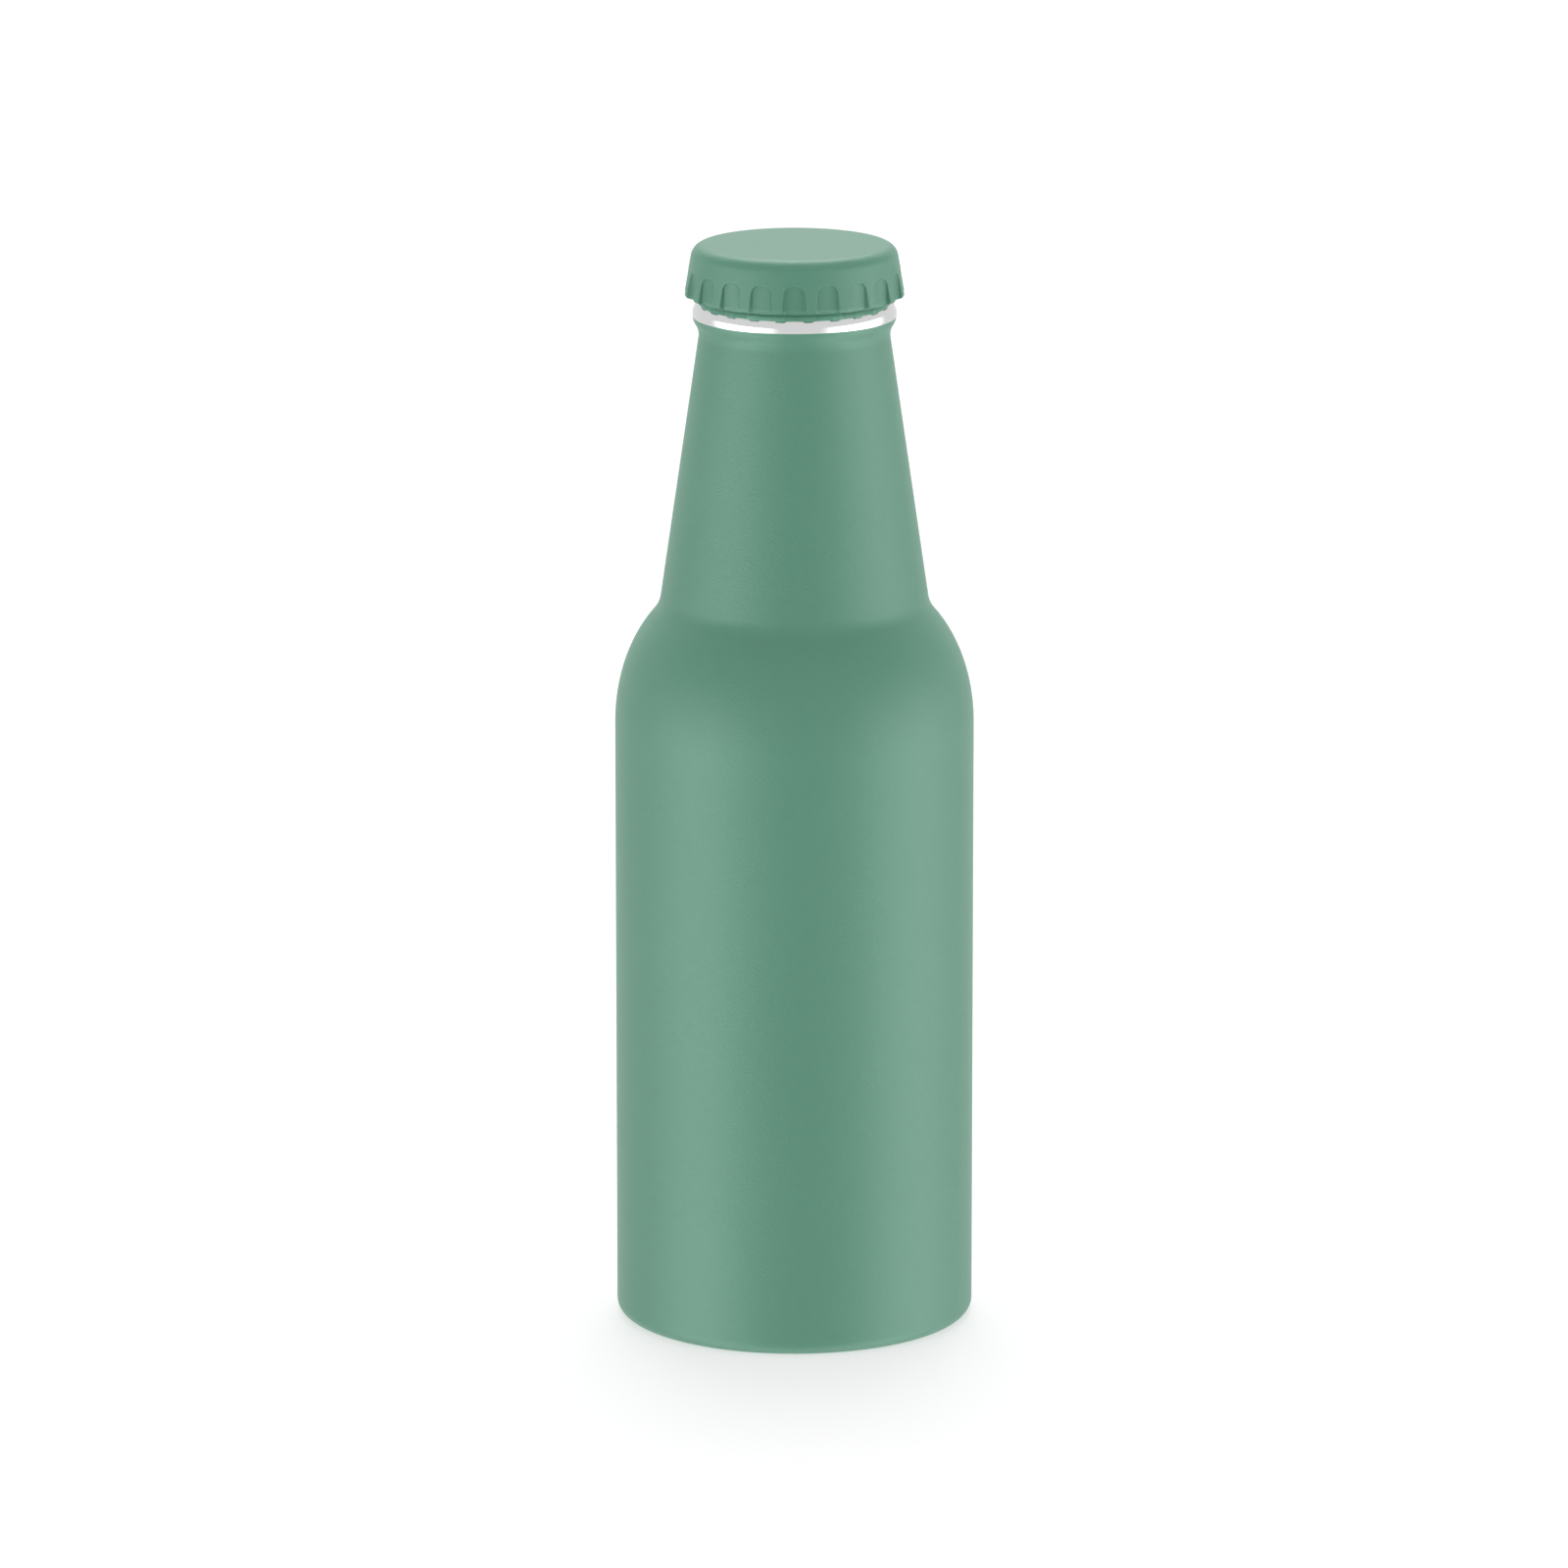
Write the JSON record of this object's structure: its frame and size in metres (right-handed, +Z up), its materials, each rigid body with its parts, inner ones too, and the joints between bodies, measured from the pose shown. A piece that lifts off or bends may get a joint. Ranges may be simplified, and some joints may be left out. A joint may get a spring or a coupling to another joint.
{
  "type": "insulated bottle",
  "caption": "Shut insulated steel bottle with a tall tapered neck, a polished mouth rim and a scalloped crown-shaped cap.",
  "frame": {"origin": "centre of the foot, on the surface that the bottle stands on", "axes": "+Z up along the bottle's axis; one recess of the cap faces -Y"},
  "size_m": [0.073, 0.073, 0.2226],
  "materials": {
    "body_coat": "satin powder coat, sage green, fine orange peel",
    "polished_steel": "polished stainless steel",
    "cap_coat": "satin powder coat, sage green, fine orange peel"
  },
  "bodies": {
    "root": {"bottle_body": "body_coat", "mouth_rim": "polished_steel", "cap": "cap_coat"}
  },
  "joints": []
}
